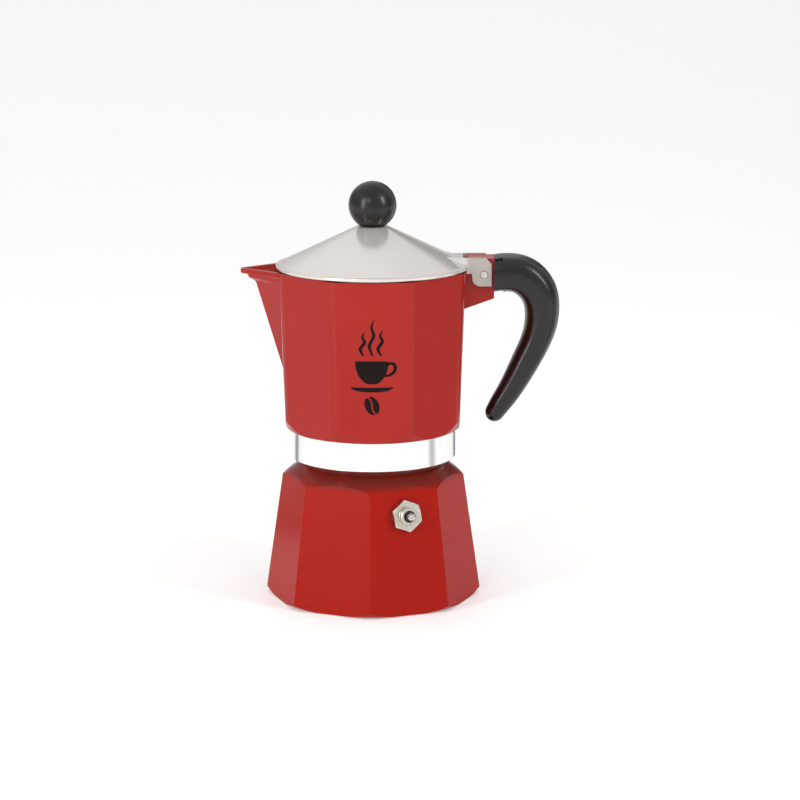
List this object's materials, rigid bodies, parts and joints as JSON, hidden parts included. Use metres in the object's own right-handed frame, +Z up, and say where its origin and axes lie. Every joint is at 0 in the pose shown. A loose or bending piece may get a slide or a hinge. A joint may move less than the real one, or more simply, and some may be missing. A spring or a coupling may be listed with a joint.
{
  "type": "moka pot",
  "caption": "Stove-top moka pot: octagonal boiler with safety valve, filter funnel, screw-on collector with V spout, hinged cone lid with ball knob, hook handle.",
  "frame": {"origin": "on the pot's axis in the plane that the base stands on", "axes": "+Z up along the pot's axis, +X towards the handle, -X towards the spout, -Y the side where the safety valve shows"},
  "size_m": [0.1216, 0.083, 0.1609],
  "materials": {
    "red_enamel": "glossy stoved enamel on cast aluminium",
    "nickel": "nickel-plated brass, satin",
    "brass": "turned brass",
    "steel": "plain steel",
    "fibre": "red fibre sealing washer",
    "rubber": "white food-grade rubber",
    "aluminium": "spun and stamped aluminium",
    "polished_aluminium": "polished aluminium sheet",
    "black_plastic": "satin black heat-resistant plastic"
  },
  "bodies": {
    "boiler_unit": {"boiler": "red_enamel", "valve_body": "nickel", "valve_washer": "fibre", "valve_seat": "brass", "valve_spring": "steel"},
    "valve_piston": {"valve_pin": "steel", "valve_seal": "rubber"},
    "funnel": {"funnel_bowl": "aluminium", "funnel_stem": "aluminium", "funnel_screen": "aluminium"},
    "collector_unit": {"collector": "red_enamel", "column": "aluminium", "gasket": "rubber", "filter_plate": "aluminium", "hinge_pin": "steel", "handle": "black_plastic", "handle_screw": "steel"},
    "lid_unit": {"lid": "polished_aluminium", "knob": "black_plastic", "knob_insert": "brass", "knob_washer": "steel", "knob_screw": "steel"}
  },
  "joints": [
    {"name": "collector_turn", "type": "hinge", "parent": "funnel", "child": "collector_unit", "pos_m": [0, 0, 0], "axis": [0, 0, 1], "range_deg": [0, 1440]},
    {"name": "funnel_lift", "type": "slide", "parent": "boiler_unit", "child": "funnel", "axis": [0, 0, 1], "range_m": [0, 0.012]},
    {"name": "lid_hinge", "type": "hinge", "parent": "collector_unit", "child": "lid_unit", "pos_m": [0.0423, 0, 0.12605], "axis": [0, 1, 0], "range_deg": [0, 95]},
    {"name": "valve_pin_slide", "type": "slide", "parent": "boiler_unit", "child": "valve_piston", "axis": [0.3633, -0.9222, 0.1324], "range_m": [0, 0.0015], "stiffness_N_per_m": 800, "springref_m": -0.002, "deforming": ["valve_spring"]}
  ],
  "couplings": [
    {"joint": "funnel_lift", "follows": "collector_turn", "m_per_rad": 0.00047746}
  ]
}
